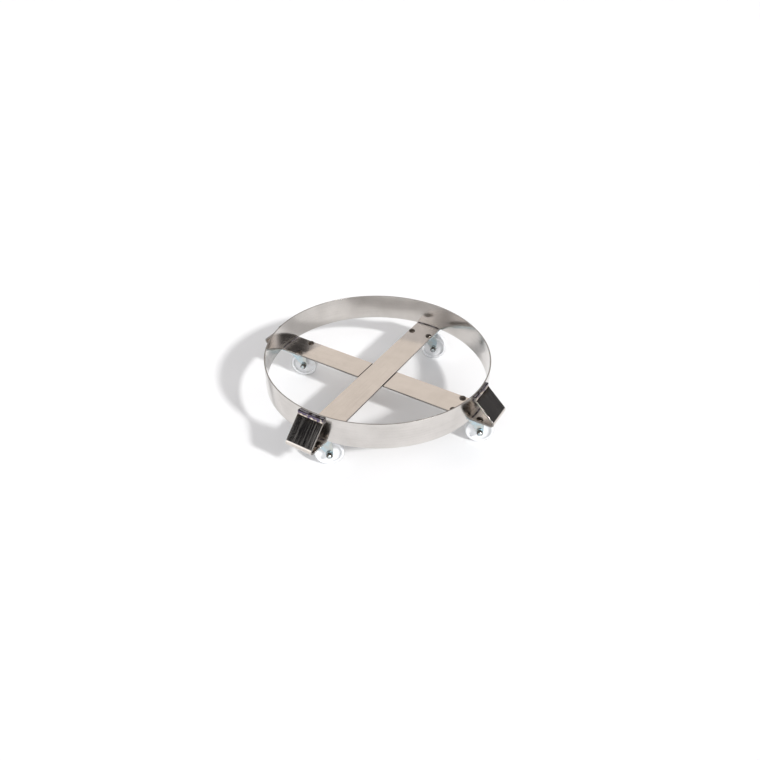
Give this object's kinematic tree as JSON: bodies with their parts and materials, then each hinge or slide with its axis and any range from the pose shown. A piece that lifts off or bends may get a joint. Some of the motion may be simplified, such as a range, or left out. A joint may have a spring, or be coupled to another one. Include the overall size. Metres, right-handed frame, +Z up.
{
  "type": "drum dolly",
  "caption": "Round drum dolly: a rolled flat-bar ring on a cross of flat bars, with folded bumper loops on its arms and plate swivel casters under them.",
  "frame": {"origin": "on the ring's axis, on the floor under the wheels", "axes": "+Z up along the ring's axis, +Y along the through bar, +X along the right half bar"},
  "size_m": [0.7364, 0.7364, 0.1766],
  "materials": {
    "stainless": "satin stainless steel, 2B mill finish on the bars",
    "zinc": "bright zinc plate",
    "bearing_steel": "ground bearing steel",
    "white_nylon": "moulded white nylon, semi-gloss"
  },
  "bodies": {
    "frame": {"ring_band": "stainless", "cross_bar_through": "stainless", "cross_bar_right": "stainless", "cross_bar_left": "stainless", "caster_right_top_plate": "zinc", "caster_right_kingpin": "zinc", "caster_right_ball_race": "bearing_steel", "caster_right_race_cup": "zinc", "caster_right_bolt_1": "zinc", "caster_right_bolt_2": "zinc", "caster_right_bolt_3": "zinc", "caster_right_bolt_4": "zinc", "caster_rear_top_plate": "zinc", "caster_rear_kingpin": "zinc", "caster_rear_ball_race": "bearing_steel", "caster_rear_race_cup": "zinc", "caster_rear_bolt_1": "zinc", "caster_rear_bolt_2": "zinc", "caster_rear_bolt_3": "zinc", "caster_rear_bolt_4": "zinc", "caster_left_top_plate": "zinc", "caster_left_kingpin": "zinc", "caster_left_ball_race": "bearing_steel", "caster_left_race_cup": "zinc", "caster_left_bolt_1": "zinc", "caster_left_bolt_2": "zinc", "caster_left_bolt_3": "zinc", "caster_left_bolt_4": "zinc", "caster_front_top_plate": "zinc", "caster_front_kingpin": "zinc", "caster_front_ball_race": "bearing_steel", "caster_front_race_cup": "zinc", "caster_front_bolt_1": "zinc", "caster_front_bolt_2": "zinc", "caster_front_bolt_3": "zinc", "caster_front_bolt_4": "zinc"},
    "swivel_right": {"caster_right_fork": "zinc", "caster_right_axle_bolt": "zinc", "caster_right_axle_nut": "zinc", "caster_right_axle_sleeve": "bearing_steel"},
    "wheel_right": {"caster_right_wheel": "white_nylon"},
    "swivel_rear": {"caster_rear_fork": "zinc", "caster_rear_axle_bolt": "zinc", "caster_rear_axle_nut": "zinc", "caster_rear_axle_sleeve": "bearing_steel"},
    "wheel_rear": {"caster_rear_wheel": "white_nylon"},
    "swivel_left": {"caster_left_fork": "zinc", "caster_left_axle_bolt": "zinc", "caster_left_axle_nut": "zinc", "caster_left_axle_sleeve": "bearing_steel"},
    "wheel_left": {"caster_left_wheel": "white_nylon"},
    "swivel_front": {"caster_front_fork": "zinc", "caster_front_axle_bolt": "zinc", "caster_front_axle_nut": "zinc", "caster_front_axle_sleeve": "bearing_steel"},
    "wheel_front": {"caster_front_wheel": "white_nylon"}
  },
  "joints": [
    {"name": "swivel_right", "type": "hinge", "parent": "frame", "child": "swivel_right", "pos_m": [0.288, 0, 0.086], "axis": [0, 0, 1], "continuous": true},
    {"name": "roll_right", "type": "hinge", "parent": "swivel_right", "child": "wheel_right", "pos_m": [0.31228, 0.01291, 0.0381], "axis": [-0.4695, 0.8829, 0], "continuous": true},
    {"name": "swivel_rear", "type": "hinge", "parent": "frame", "child": "swivel_rear", "pos_m": [0, 0.288, 0.086], "axis": [0, 0, 1], "continuous": true},
    {"name": "roll_rear", "type": "hinge", "parent": "swivel_rear", "child": "wheel_rear", "pos_m": [0.0255, 0.2983, 0.0381], "axis": [-0.3746, 0.9272, 0], "continuous": true},
    {"name": "swivel_left", "type": "hinge", "parent": "frame", "child": "swivel_left", "pos_m": [-0.288, 0, 0.086], "axis": [0, 0, 1], "continuous": true},
    {"name": "roll_left", "type": "hinge", "parent": "swivel_left", "child": "wheel_left", "pos_m": [-0.26269, 0.01074, 0.0381], "axis": [-0.3907, 0.9205, 0], "continuous": true},
    {"name": "swivel_front", "type": "hinge", "parent": "frame", "child": "swivel_front", "pos_m": [0, -0.288, 0.086], "axis": [0, 0, 1], "continuous": true},
    {"name": "roll_front", "type": "hinge", "parent": "swivel_front", "child": "wheel_front", "pos_m": [0.02225, -0.27184, 0.0381], "axis": [-0.5878, 0.809, 0], "continuous": true}
  ]
}
